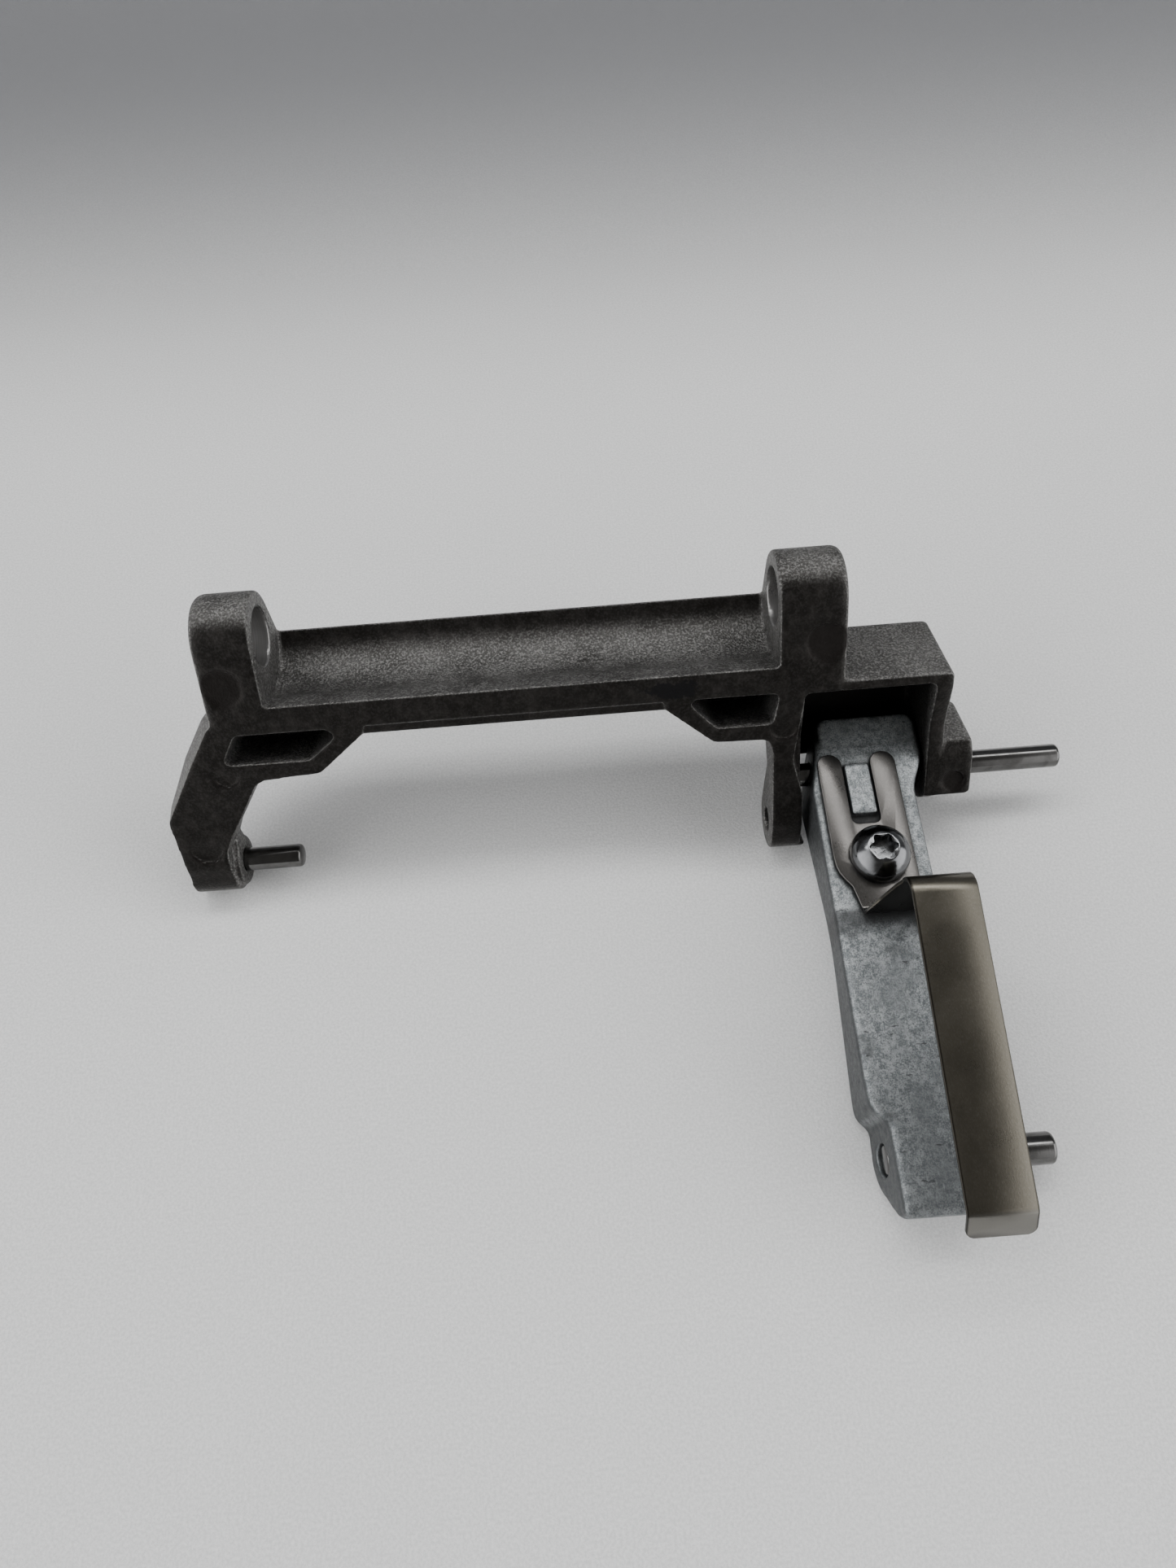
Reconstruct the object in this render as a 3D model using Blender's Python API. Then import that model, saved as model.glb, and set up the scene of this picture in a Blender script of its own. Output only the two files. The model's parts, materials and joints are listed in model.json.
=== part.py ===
"""Yoke bracket with a hinged, leaf-sprung lever: two bored eyes, two legs, a hinge box and the lever's pins."""

import math

import bmesh
import bpy
from mathutils import Matrix, Vector

MM = 0.001

# Driving dimensions in millimetres. In the bracket's own frame x runs along the eye bores, y away from the
# front face and z up, with the origin on the bore axis midway between the eyes' outer faces.
BORE_R = 4.0
EYE_R = 6.2
LEFT_EYE = (-43.0, -35.0)
RIGHT_EYE = (34.0, 43.1)

FRONT_Y = -6.2
BACK_Y = 8.7
RIM_Z = -2.1
TROUGH_R = 8.3
SHELL_R = 11.0
LEDGE_Z = -7.95
RAIL_BACK_Y = -3.2
RAIL_STEP_Z = -11.6
RAIL_BOTTOM_Z = -13.0
RAIL_SETBACK = 0.45

# Solids that are joined stand this far off each other's outer planes, so that no two share a plane.
OFFSET = 0.03

FOOT_AXIS = (-1.2, -33.5)
FOOT_R = 4.3
FOOT_BOSS_R = 3.7
FOOT_RIB = (-2.6, -27.6)
GUSSET_BACK_Y = 6.5
POCKET_BACK_Y = 3.8

BOX_OUTER_X = (34.6, 57.8)
BOX_INNER_X = (37.4, 55.3)
BOX_INNER_BACK_Y = 6.15
BOX_CEILING_Z = -11.95
ROOF_FRONT_Z = -10.7
ROOF_BACK = (6.9, -7.6)
WALL_FRONT_Y = -4.1
WALL_BOTTOM_Z = -30.2
PIVOT = (0.5, -27.65)
PIVOT_BOSS_R = 4.6
EAR_X = (57.0, 62.1)

LEG_PIN_R = 1.7
TIP_PIN_R = 2.0
FIT = 0.05
LEG_PIN_X = (-48.9, -35.35)
PIVOT_PIN_X = (35.3, 76.0)
TIP_PIN_X = (40.6, 61.8)

# The lever's frame has its origin on the hinge axis. The arm runs out along -y and its top faces +z.
LEVER_DROP = math.radians(37.5)
HUB_R = 5.3
TOP_Z = 5.06
ARM_END = 61.15
HEEL_X = (40.7, 55.02)
HEEL_REACH = 6.4
HEEL_STOP = 5.3
TIP_AXIS = (54.0, -0.21)
TIP_R = 4.45

SHEET = 0.5
GAP = 0.3
SPRING_X = (39.76, 50.69)
SPRING_SLOT_X = (43.15, 47.2)
SPRING_SLOT_END = 10.75
SPRING_TIP = -0.1
BEND_AT = 23.6
RISER_LEAN = 7.5
STRIP_X = (45.8, 54.0)
STRIP_HIGH = 17.3
FOLD_R = 2.4
STRIP_LOW = (61.6, 12.35)
LIP_END = (63.85, 9.7)

SCREW_AT = (45.85, 15.65)
SCREW_HEAD_R = 4.0
SCREW_HEAD_H = 3.1
SCREW_R = 2.0
SCREW_REACH = 5.9
TORX_OUTER_R = 1.97
TORX_INNER_R = 1.42
TORX_DEPTH = 1.8


def clear_scene():
    for old in list(bpy.data.objects):
        bpy.data.objects.remove(old, do_unlink=True)


def make_material(name, colour, metallic, roughness):
    made = bpy.data.materials.new(name)
    made.use_nodes = True
    shader = made.node_tree.nodes["Principled BSDF"]
    shader.inputs["Base Color"].default_value = (*colour, 1.0)
    shader.inputs["Metallic"].default_value = metallic
    shader.inputs["Roughness"].default_value = roughness
    return made


def arc(centre, radius, start, end, steps):
    """Points on a circle from one angle in degrees to another."""
    turn = [math.radians(start + (end - start) * i / steps) for i in range(steps + 1)]
    return [(centre[0] + radius * math.cos(a), centre[1] + radius * math.sin(a)) for a in turn]


def circle(centre, radius, steps):
    return arc(centre, radius, 0, 360, steps)[:-1]


def angle_of(point, centre):
    return math.degrees(math.atan2(point[1] - centre[1], point[0] - centre[0]))


def tangent_angle(point, centre, radius, side):
    """Angle on the circle where a line from the outside point touches it; side is 1 or -1."""
    away = math.dist(point, centre)
    return angle_of(point, centre) + side * math.degrees(math.acos(radius / away))


def rounded(corners, steps=4):
    """Outline through (u, v, radius) corners, each rounded by its own radius."""
    outline = []
    for i, (u, v, radius) in enumerate(corners):
        here = Vector((u, v))
        if not radius:
            outline.append((u, v))
            continue
        back = (Vector(corners[i - 1][:2]) - here).normalized()
        ahead = (Vector(corners[(i + 1) % len(corners)][:2]) - here).normalized()
        half = back.angle(ahead) / 2
        centre = here + (back + ahead).normalized() * (radius / math.sin(half))
        start = angle_of(here + back * (radius / math.tan(half)), centre)
        end = angle_of(here + ahead * (radius / math.tan(half)), centre)
        turn = (end - start + 180) % 360 - 180
        outline += arc(centre, radius, start, start + turn, steps)
    return outline


def value_at(curve, where):
    """Height of a polyline of (position, height) points at one position."""
    for (a, low), (b, high) in zip(curve, curve[1:]):
        if where <= b:
            return low + (high - low) * max(where - a, 0) / (b - a)
    return curve[-1][1]


def finish_mesh(name, made):
    """Turns a bmesh in millimetres into an object in metres."""
    bmesh.ops.recalc_face_normals(made, faces=made.faces)
    bmesh.ops.transform(made, matrix=Matrix.Scale(MM, 4), verts=made.verts)
    mesh = bpy.data.meshes.new(name)
    made.to_mesh(mesh)
    made.free()
    placed = bpy.data.objects.new(name, mesh)
    bpy.context.scene.collection.objects.link(placed)
    return placed


def prism(name, outline, axis, low, high, round_low=0.0, round_high=0.0):
    """Extrudes an outline along one axis. Its two end edges can be rounded."""
    order = {"X": (2, 0, 1), "Y": (0, 2, 1), "Z": (0, 1, 2)}[axis]
    made = bmesh.new()
    rings = []
    for level in (low, high):
        points = [(u, v, level) for u, v in outline]
        rings.append([made.verts.new([point[k] for k in order]) for point in points])
    made.faces.new(rings[0])
    made.faces.new(rings[1])
    for i in range(len(outline)):
        made.faces.new([rings[0][i - 1], rings[0][i], rings[1][i], rings[1][i - 1]])
    bmesh.ops.recalc_face_normals(made, faces=made.faces)
    for ring, size in zip(rings, (round_low, round_high)):
        if size:
            edges = [edge for edge in made.edges if edge.verts[0] in ring and edge.verts[1] in ring]
            bmesh.ops.bevel(made, geom=edges, offset=size, segments=3, profile=0.5, affect="EDGES")
    return finish_mesh(name, made)


def loft(name, sections):
    """Skins equal-length closed sections, given as lists of points, and caps both ends."""
    made = bmesh.new()
    rings = [[made.verts.new(point) for point in section] for section in sections]
    for a, b in zip(rings, rings[1:]):
        for i in range(len(a)):
            made.faces.new([a[i - 1], a[i], b[i], b[i - 1]])
    made.faces.new(rings[0])
    made.faces.new(rings[-1])
    return finish_mesh(name, made)


def lathe(name, profile, centre, steps):
    """Revolves (radius, height) points about a vertical axis. The profile starts and ends on the axis."""
    made = bmesh.new()
    ends = [made.verts.new((centre[0], centre[1], profile[i][1])) for i in (0, -1)]
    rings = []
    for radius, height in profile[1:-1]:
        rings.append([made.verts.new((x, y, height)) for x, y in circle(centre, radius, steps)])
    for a, b in zip(rings, rings[1:]):
        for i in range(steps):
            made.faces.new([a[i - 1], a[i], b[i], b[i - 1]])
    for end, ring in zip(ends, (rings[0], rings[-1])):
        for i in range(steps):
            made.faces.new([end, ring[i - 1], ring[i]])
    return finish_mesh(name, made)


def combine(target, tool, operation, solver="EXACT"):
    step = target.modifiers.new(tool.name, "BOOLEAN")
    step.operation = operation
    step.solver = solver
    step.object = tool
    tool.hide_render = True
    tool.display_type = "WIRE"


def settle(target):
    """Bakes the Booleans of an object into its mesh and removes their tools."""
    graph = bpy.context.evaluated_depsgraph_get()
    target.data = bpy.data.meshes.new_from_object(target.evaluated_get(graph))
    tools = [step.object for step in target.modifiers]
    target.modifiers.clear()
    for tool in tools:
        bpy.data.objects.remove(tool, do_unlink=True)
    return target


def dress(target, name, parent, surface):
    target.name = name
    target.data.name = name
    target.parent = parent
    target.data.materials.clear()
    target.data.materials.append(surface)
    target.data.shade_smooth()
    target.data.set_sharp_from_angle(angle=math.radians(32))


def eye_outline():
    """Round eye over a flush front face, running down behind to the rim of the trough."""
    rim = (BACK_Y - OFFSET, RIM_Z + OFFSET)
    last = tangent_angle(rim, (0, 0), EYE_R, 1)
    inner = SHELL_R - 0.5
    shell = math.degrees(math.acos(rim[0] / inner))
    outline = [(FRONT_Y, -12.6)] + arc((0, 0), EYE_R, 180, last, 22)
    outline.append(rim)
    outline += arc((0, 0), inner, -shell, -90, 8)
    return outline + [(RAIL_BACK_Y - 0.3, -12.6)]


def beam_outline():
    """Channel round the bore axis with a front rail and a low back rim."""
    start = -math.degrees(math.asin(-RIM_Z / TROUGH_R))
    end = -180 + math.degrees(math.asin(-LEDGE_Z / TROUGH_R))
    shell = math.degrees(math.acos(BACK_Y / SHELL_R))
    front = FRONT_Y + OFFSET
    outline = [(BACK_Y, RIM_Z)] + arc((0, 0), TROUGH_R, start, end, 20)
    outline += rounded([(-3.4, LEDGE_Z, 0), (front, LEDGE_Z, 0.35), (front, -9.0, 0)], 3)[1:]
    outline += [(front, RAIL_STEP_Z), (front + RAIL_SETBACK, RAIL_STEP_Z)]
    outline += [(front + RAIL_SETBACK, RAIL_BOTTOM_Z), (RAIL_BACK_Y, RAIL_BOTTOM_Z)]
    return outline + arc((0, 0), SHELL_R, -107, -shell, 14)


def leg_side_outline():
    """Side view shared by both legs: deep gusset, thin waist and a round foot."""
    brow = (FRONT_Y - 0.8, -29.0)
    front = tangent_angle(brow, FOOT_AXIS, FOOT_R, 1)
    back = tangent_angle((-0.9, -23.6), FOOT_AXIS, FOOT_R, -1)
    upper = rounded(
        [
            (-0.9, -23.6, 2.5),
            (0.6, -19.6, 2.5),
            (GUSSET_BACK_Y, -17.6, 1.5),
            (GUSSET_BACK_Y, -9.4, 0),
            (brow[0], -9.4, 0),
            (*brow, 0),
        ]
    )
    return upper + arc(FOOT_AXIS, FOOT_R, front, back + 360, 18)


def left_leg_outline(flare):
    """Front view of the left leg, whose left side stands out by the flare behind its front face."""
    return rounded(
        [
            (-41.8 - flare, -9.4, 0),
            (-43.3 - flare, -10.7, 0),
            (-46.8 - flare, -16.2, 1.5),
            (-51.6 - flare * 0.6, -24.2, 2.2),
            (-50.8, -33.0, 2.0),
            (-51.4, -39.0, 0),
            (-44.5, -39.0, 0),
            (-44.5, -29.6, 1.2),
            (-43.1, -26.8, 1.2),
            (-41.5, -24.4, 0.6),
            (-38.0, -18.7, 2.6),
            (-29.2, -18.2, 2.2),
            (-22.6, -12.9, 0.8),
            (-22.0, -9.4, 0),
        ]
    )


def mid_leg_outline():
    return rounded(
        [
            (18.0, -9.4, 0),
            (18.6, -12.9, 0.8),
            (25.0, -18.2, 2.0),
            (32.6, -18.5, 1.0),
            (33.1, -20.5, 0.8),
            (33.1, -39.0, 0),
            (38.1, -39.0, 0),
            (38.1, -30.0, 2.5),
            (36.0, -22.0, 3.0),
            (37.5, -12.0, 0),
            (37.5, -9.4, 0),
        ]
    )


def make_leg(name, depths, low, high):
    """Leg whose front view is given at several depths, trimmed to its side view."""
    leg = loft(name, [[(x, y, z) for x, z in outline] for y, outline in depths])
    combine(leg, prism(name + "_side", leg_side_outline(), "X", low, high), "INTERSECT")
    return settle(leg)


def wall_outline():
    """Side view of the hinge box: sloping roof, flat back and a boss round the hinge pin."""
    back = tangent_angle((BACK_Y - 2 * OFFSET, -23.5), PIVOT, PIVOT_BOSS_R, -1)
    front = tangent_angle((WALL_FRONT_Y, WALL_BOTTOM_Z), PIVOT, PIVOT_BOSS_R, 1)
    face = FRONT_Y + 3 * OFFSET
    corners = rounded(
        [
            (WALL_FRONT_Y, WALL_BOTTOM_Z, 0),
            (WALL_FRONT_Y, -19.0, 2.0),
            (face, -12.8, 2.0),
            (face, ROOF_FRONT_Z, 0.4),
            (*ROOF_BACK, 0.8),
            (BACK_Y - 2 * OFFSET, -8.6, 0.8),
            (BACK_Y - 2 * OFFSET, -23.5, 0),
        ]
    )
    return corners + arc(PIVOT, PIVOT_BOSS_R, back, front, 14)


def ear_outline():
    """Side view of the ear outside the hinge box."""
    boss = PIVOT_BOSS_R - 0.15
    back = tangent_angle((6.6, -21.4), PIVOT, boss, -1)
    bottom = WALL_BOTTOM_Z + OFFSET
    face = WALL_FRONT_Y - OFFSET
    front = tangent_angle((face, bottom), PIVOT, boss, 1)
    corners = rounded(
        [
            (face, bottom, 0),
            (face, -24.0, 0.4),
            (-3.1, -22.0, 0.4),
            (5.6, -19.8, 0.6),
            (6.6, -21.4, 0),
        ]
    )
    return corners + arc(PIVOT, boss, back, front, 12)


def make_mark(name, centre, face, radius, top_depth, bottom_depth):
    """Cutter for a round ejector mark in a face, sunk deeper at its foot where bottom_depth is larger."""
    mark = prism(name, circle(centre, radius, 28), "Y", face - 1.0, face)
    for point in mark.data.vertices:
        if point.co.y > (face - 0.5) * MM:
            low = (centre[1] - point.co.z / MM) / radius / 2 + 0.5
            point.co.y += (top_depth + (bottom_depth - top_depth) * low) * MM
    return mark


def add_bracket_cuts(bracket):
    left_pocket = [
        (-39.8, -11.75, 1.0),
        (-27.4, -11.8, 0.8),
        (-26.2, -12.9, 0.6),
        (-30.3, -16.1, 1.2),
        (-42.2, -16.0, 0.7),
    ]
    right_pocket = [
        (22.6, -11.65, 0.5),
        (21.9, -12.4, 0.4),
        (25.4, -16.1, 1.0),
        (33.1, -16.1, 0.6),
        (34.0, -11.7, 0.7),
    ]
    for name, corners in (("left_pocket", left_pocket), ("right_pocket", right_pocket)):
        outline = rounded(corners)
        combine(bracket, prism(name, outline, "Y", FRONT_Y - 1, POCKET_BACK_Y), "DIFFERENCE")
    cavity = rounded(
        [
            (BOX_INNER_X[0], BOX_CEILING_Z, 0.9),
            (BOX_INNER_X[1], BOX_CEILING_Z, 0.9),
            (BOX_INNER_X[1], -36, 0),
            (BOX_INNER_X[0], -36, 0),
        ]
    )
    combine(bracket, prism("cavity", cavity, "Y", FRONT_Y - 1, BOX_INNER_BACK_Y), "DIFFERENCE")
    bores = (
        ("left_bore", (0, 0), BORE_R, -45, -33, 40),
        ("right_bore", (0, 0), BORE_R, 32, 45, 40),
        ("left_pin_hole", FOOT_AXIS, LEG_PIN_R + FIT, LEG_PIN_X[0] - 0.3, -40, 28),
        ("foot_bore", FOOT_AXIS, LEG_PIN_R + FIT, 31, 40, 28),
        ("pivot_hole", PIVOT, LEG_PIN_R + FIT, PIVOT_PIN_X[0] - 0.3, 65, 28),
    )
    for name, axis, radius, low, high, steps in bores:
        combine(bracket, prism(name, circle(axis, radius, steps), "X", low, high), "DIFFERENCE")
    marks = (
        ((-39.8, -4.9), FRONT_Y, 2.7, 0.35, 0.25),
        ((40.1, -4.9), FRONT_Y, 2.75, 0.35, 0.25),
        ((-42.1, -17.4), FRONT_Y, 1.9, -0.15, 0.7),
        ((-47.3, -28.7), FRONT_Y, 2.35, -0.15, 0.75),
        ((34.6, -16.6), FRONT_Y, 2.0, -0.15, 0.6),
        ((59.4, -28.2), WALL_FRONT_Y, 1.7, 0.5, 0.25),
    )
    for i, (centre, face, radius, top, bottom) in enumerate(marks):
        mark = make_mark("mark_%d" % i, centre, face, radius, top, bottom)
        combine(bracket, mark, "DIFFERENCE")


def make_bracket(parent, surface):
    bracket = prism("bracket", beam_outline(), "X", -41.5, 42.0)
    left_eye = prism("left_eye", eye_outline(), "X", *LEFT_EYE, round_low=1.2, round_high=0.35)
    right_eye = prism("right_eye", eye_outline(), "X", *RIGHT_EYE, round_low=0.35, round_high=1.2)
    combine(bracket, left_eye, "UNION")
    combine(bracket, right_eye, "UNION")
    front = FRONT_Y + 2 * OFFSET
    square = left_leg_outline(0)
    flared = left_leg_outline(1.9)
    left_leg = make_leg("left_leg", [(front, square), (-1.5, flared), (BACK_Y, flared)], -55, -20)
    mid_leg = make_leg("mid_leg", [(front, mid_leg_outline()), (BACK_Y, mid_leg_outline())], 17, 39)
    combine(bracket, left_leg, "UNION")
    combine(bracket, mid_leg, "UNION")
    start = tangent_angle(FOOT_RIB, FOOT_AXIS, FOOT_BOSS_R, 1)
    end = tangent_angle(FOOT_RIB, FOOT_AXIS, FOOT_BOSS_R, -1) + 360
    boss = [FOOT_RIB] + arc(FOOT_AXIS, FOOT_BOSS_R, start, end, 28)
    combine(bracket, prism("foot_boss", boss, "X", -48, -43.7, round_high=0.4), "UNION")
    combine(bracket, prism("box", wall_outline(), "X", *BOX_OUTER_X, round_high=0.9), "UNION")
    # The exact solver drops the whole bracket on this one joint.
    ear = prism("ear", ear_outline(), "X", *EAR_X, round_high=0.8)
    combine(bracket, ear, "UNION", "MANIFOLD")
    add_bracket_cuts(bracket)
    dress(settle(bracket), "yoke_bracket", parent, surface)


def make_pin(name, axis, radius, span, parent, surface, ends=0.55):
    pin = prism(name, circle(axis, radius, 32), "X", *span, round_low=ends, round_high=ends)
    dress(pin, name, parent, surface)


def lever_curves():
    """Left and right edges, top and underside of the lever against distance from the hinge axis."""
    left = [(-HUB_R, 40.6), (4.7, 38.75), (46.4, 38.75), (47.3, 38.83), (48.1, 39.05), (48.8, 39.5)]
    left += [(49.4, 40.15), (50.0, 40.65), (50.8, 40.87), (51.6, 40.9), (ARM_END, 40.9)]
    right = [(-HUB_R, 55.05), (-1.0, 55.05), (1.0, 54.8), (2.5, 54.2), (4.0, 53.5), (5.4, 53.08)]
    right += [(6.6, 53.0), (ARM_END, 53.0)]
    hub = arc((0, 0), HUB_R, 176, 106, 9)
    top = hub + [(0.6, TOP_Z + 0.03), (2.4, TOP_Z), (59.9, TOP_Z), (60.6, 4.86), (ARM_END, 4.3)]
    under = arc((0, 0), HUB_R, 184, 276, 11)
    under += rounded(
        [(3.0, -4.95, 0), (6.1, -4.4, 6.0), (25.0, -0.35, 22.0), (37.1, -2.4, 20.0), (47.9, -4.4, 0)]
    )[1:]
    under += arc(TIP_AXIS, TIP_R, -100, -33, 8) + [(60.4, 1.1), (ARM_END, 2.0)]
    return left, right, top, under


def lever_section(where, curves):
    """Cross-section with soft upper edges; the tip's left side leans outwards towards its foot."""
    left, right, top, under = (value_at(curve, where) for curve in curves)
    end = 1.0 - math.sqrt(1 - max(0.0, (where - ARM_END + 0.9) / 0.9) ** 2)
    left += end * 0.8
    right -= end * 0.8
    lean = 0.03 + 0.07 * min(1.0, max(0.0, (where - 47.0) / 5.0))
    drop = (top - under) * lean
    radius = min(0.85, (top - under) * 0.35)
    corners = [
        (left, top, radius),
        (right, top, radius),
        (right + (top - under) * 0.02, under, radius * 0.7),
        (left - drop, under, radius * 0.7),
    ]
    return [(x, -where, z) for x, z in rounded(corners, 4)]


def make_heel():
    """Block behind the hub that carries its flat top on and stops the arm against the box's back wall."""
    spin = Matrix.Rotation(-LEVER_DROP, 2)
    side = [(HEEL_STOP, 0.8), (HEEL_STOP, 4.6), (1.5, 9.0), (-4.0, 4.6), (0, -1.5)]
    side = [tuple(spin @ Vector(point)) for point in side]
    heel = prism("heel", side, "X", HEEL_X[0] - 1, HEEL_X[1] + 1)
    plan = rounded(
        [
            (HEEL_X[0], -0.5, 0),
            (HEEL_X[1], -0.5, 0),
            (HEEL_X[1], HEEL_REACH, 1.7),
            (HEEL_X[0], HEEL_REACH, 1.7),
        ]
    )
    combine(heel, prism("heel_plan", plan, "Z", -2.0, TOP_Z - OFFSET, round_high=0.6), "INTERSECT")
    return settle(heel)


def make_lever(parent, surface):
    curves = lever_curves()
    spots = sorted({round(point[0], 3) for curve in curves for point in curve})
    spots = [spot for i, spot in enumerate(spots) if not i or spot - spots[i - 1] > 0.12]
    spots = [spot for spot in spots if -5.28 < spot < ARM_END - 0.15]
    spots += [ARM_END - 0.1, ARM_END]
    lever = loft("lever", [lever_section(spot, curves) for spot in spots])
    block = rounded(
        [(43.45, -9.25, 0.4), (46.92, -9.25, 0.4), (46.92, -1.6, 0.4), (43.45, -1.6, 0.4)]
    )
    combine(lever, prism("block", block, "Z", 2.0, TOP_Z + 0.95, round_high=0.25), "UNION")
    combine(lever, make_heel(), "UNION")
    pivot_hole = prism("lever_pivot_hole", circle((0, 0), LEG_PIN_R + FIT, 28), "X", 36, 57)
    combine(lever, pivot_hole, "DIFFERENCE")
    tip_hole = circle((-TIP_AXIS[0], TIP_AXIS[1]), TIP_PIN_R + FIT, 32)
    combine(lever, prism("tip_hole", tip_hole, "X", 36, 57), "DIFFERENCE")
    seat = circle((SCREW_AT[0], -SCREW_AT[1]), SCREW_R + FIT, 28)
    combine(lever, prism("screw_hole", seat, "Z", TOP_Z - SCREW_REACH - 0.3, TOP_Z + 2), "DIFFERENCE")
    dress(settle(lever), "lever_arm", parent, surface)


def spring_path():
    """Middle of the bent sheet beyond the flat plate, as (distance, height, left edge, right edge)."""
    base = TOP_Z + GAP + SHEET / 2
    path = []
    for out, up in arc((BEND_AT - 1.0, base + 1.0), 1.0, -90, RISER_LEAN, 5)[1:]:
        path.append((out, up, 42.4, 50.75))
    foot = path[-1]
    crest = STRIP_HIGH - FOLD_R
    reach = (crest - foot[1]) * math.tan(math.radians(RISER_LEAN))
    fold = (foot[0] - reach + FOLD_R, crest)
    fall = math.degrees(math.atan2(STRIP_HIGH - STRIP_LOW[1], STRIP_LOW[0] - fold[0]))
    fold_arc = arc(fold, FOLD_R, 180 + RISER_LEAN, 90 - fall, 9)
    for i in range(1, 7):
        share = i / 7
        out, up = Vector(foot[:2]).lerp(fold_arc[0], share)
        path.append((out, up, 42.4 + 3.1 * share, 50.75 + 3.1 * share))
    for out, up in fold_arc:
        path.append((out, up, STRIP_X[0] - 0.1, STRIP_X[1] - 0.1))
    path.append((40.0, value_at([path[-1][:2], STRIP_LOW], 40.0), *STRIP_X))
    corner = Vector(STRIP_LOW)
    run = Vector(LIP_END) - corner
    path.append((corner.x - 0.35, corner.y + 0.03, *STRIP_X))
    for share, inset in ((0.03, 0), (0.12, 0), (0.7, 0), (0.82, 0.12), (0.93, 0.45), (1.0, 0.95)):
        out, up = corner + run * share - Vector((0, max(0, 0.08 - share)))
        path.append((out, up, STRIP_X[0] + inset, STRIP_X[1] - inset))
    return path


def plate_outline():
    """Forked plate under the screw, as (x, distance) points ending on the edge where the bend starts."""
    prong = (SPRING_SLOT_X[0] - SPRING_X[0]) / 2
    far = (SPRING_X[1] - SPRING_SLOT_X[1]) / 2
    left = arc((SPRING_X[0] + prong, SPRING_TIP + prong), prong, -180, 0, 8)
    right = arc((SPRING_X[1] - far, SPRING_TIP + far), far, -180, 0, 8)
    corner = 0.9
    slot = arc((SPRING_SLOT_X[0] + corner, SPRING_SLOT_END - corner), corner, 180, 90, 3)
    slot += arc((SPRING_SLOT_X[1] - corner, SPRING_SLOT_END - corner), corner, 90, 0, 3)
    neck = [(41.75, 20.3), (41.6, 19.7), (40.7, 18.5), (40.2, 17.6), (39.9, 16.6), (39.8, 15.5)]
    neck.append((SPRING_X[0], 14.0))
    start = BEND_AT - 1.0
    return left + slot + right + [(50.75, start), (42.3, start)] + neck


def make_spring(parent, surface):
    low = TOP_Z + GAP
    made = bmesh.new()
    outline = plate_outline()
    under = [made.verts.new((x, -out, low)) for x, out in outline]
    over = [made.verts.new((x, -out, low + SHEET)) for x, out in outline]
    joint = outline.index((50.75, BEND_AT - 1.0))
    made.faces.new(under)
    made.faces.new(over)
    for i in range(len(outline)):
        if i != joint + 1:
            made.faces.new([under[i - 1], under[i], over[i], over[i - 1]])
    ring = [under[joint], over[joint], over[joint + 1], under[joint + 1]]
    path = [(BEND_AT - 1.0, low + SHEET / 2)] + spring_path()
    for i in range(1, len(path)):
        after = path[min(i + 1, len(path) - 1)]
        run = Vector((after[0] - path[i - 1][0], after[1] - path[i - 1][1])).normalized()
        out, up, left, right = path[i]
        lift = Vector((-run.y, run.x)) * (SHEET / 2)
        lower = [-(out - lift.x), up - lift.y]
        upper = [-(out + lift.x), up + lift.y]
        corners = [(right, *lower), (right, *upper), (left, *upper), (left, *lower)]
        after_ring = [made.verts.new(corner) for corner in corners]
        for k in range(4):
            made.faces.new([ring[k - 1], ring[k], after_ring[k], after_ring[k - 1]])
        ring = after_ring
    made.faces.new(ring)
    spring = finish_mesh("spring", made)
    hole = circle((SCREW_AT[0], -SCREW_AT[1]), SCREW_R + 0.25, 28)
    combine(spring, prism("spring_hole", hole, "Z", low - 1, low + 1.5), "DIFFERENCE")
    dress(settle(spring), "leaf_spring", parent, surface)


def make_screw(parent, surface):
    """Pan-head screw with a six-lobed socket; its thread is left as a plain shank."""
    seat = TOP_Z + GAP + SHEET + GAP
    end = TOP_Z - SCREW_REACH
    crown = seat + SCREW_HEAD_H
    profile = [(0, end), (SCREW_R - 0.5, end), (SCREW_R, end + 0.5), (SCREW_R, seat)]
    profile += [(3.8, seat), (SCREW_HEAD_R, seat + 0.2), (SCREW_HEAD_R, seat + 0.8)]
    profile += [(3.92, seat + 1.2), (3.72, seat + 1.65), (3.4, seat + 2.1), (2.95, seat + 2.55)]
    profile += [(2.5, seat + 2.85), (2.2, crown - 0.06), (2.05, crown), (0, crown)]
    centre = (SCREW_AT[0], -SCREW_AT[1])
    screw = lathe("screw", profile, centre, 40)
    mean = (TORX_OUTER_R + TORX_INNER_R) / 2
    swing = (TORX_OUTER_R - TORX_INNER_R) / 2
    star = []
    for i in range(60):
        turn = math.tau * i / 60
        reach = mean + swing * math.cos(6 * turn)
        star.append((centre[0] + reach * math.cos(turn), centre[1] + reach * math.sin(turn)))
    combine(screw, prism("socket", star, "Z", crown - TORX_DEPTH, crown + 1), "DIFFERENCE")
    dress(settle(screw), "spring_screw", parent, surface)


def stance_tilt(hinge_turn):
    """Lean of the bracket when its feet and the lever's tip stand on one plane."""
    tip = Matrix.Rotation(hinge_turn, 2) @ Vector((-TIP_AXIS[0], TIP_AXIS[1]))
    back = FOOT_AXIS[0] - PIVOT[0] - tip.x
    drop = FOOT_AXIS[1] - PIVOT[1] - tip.y
    return math.atan2(drop, back) + math.asin((TIP_R - FOOT_R) / math.hypot(back, drop))


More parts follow.
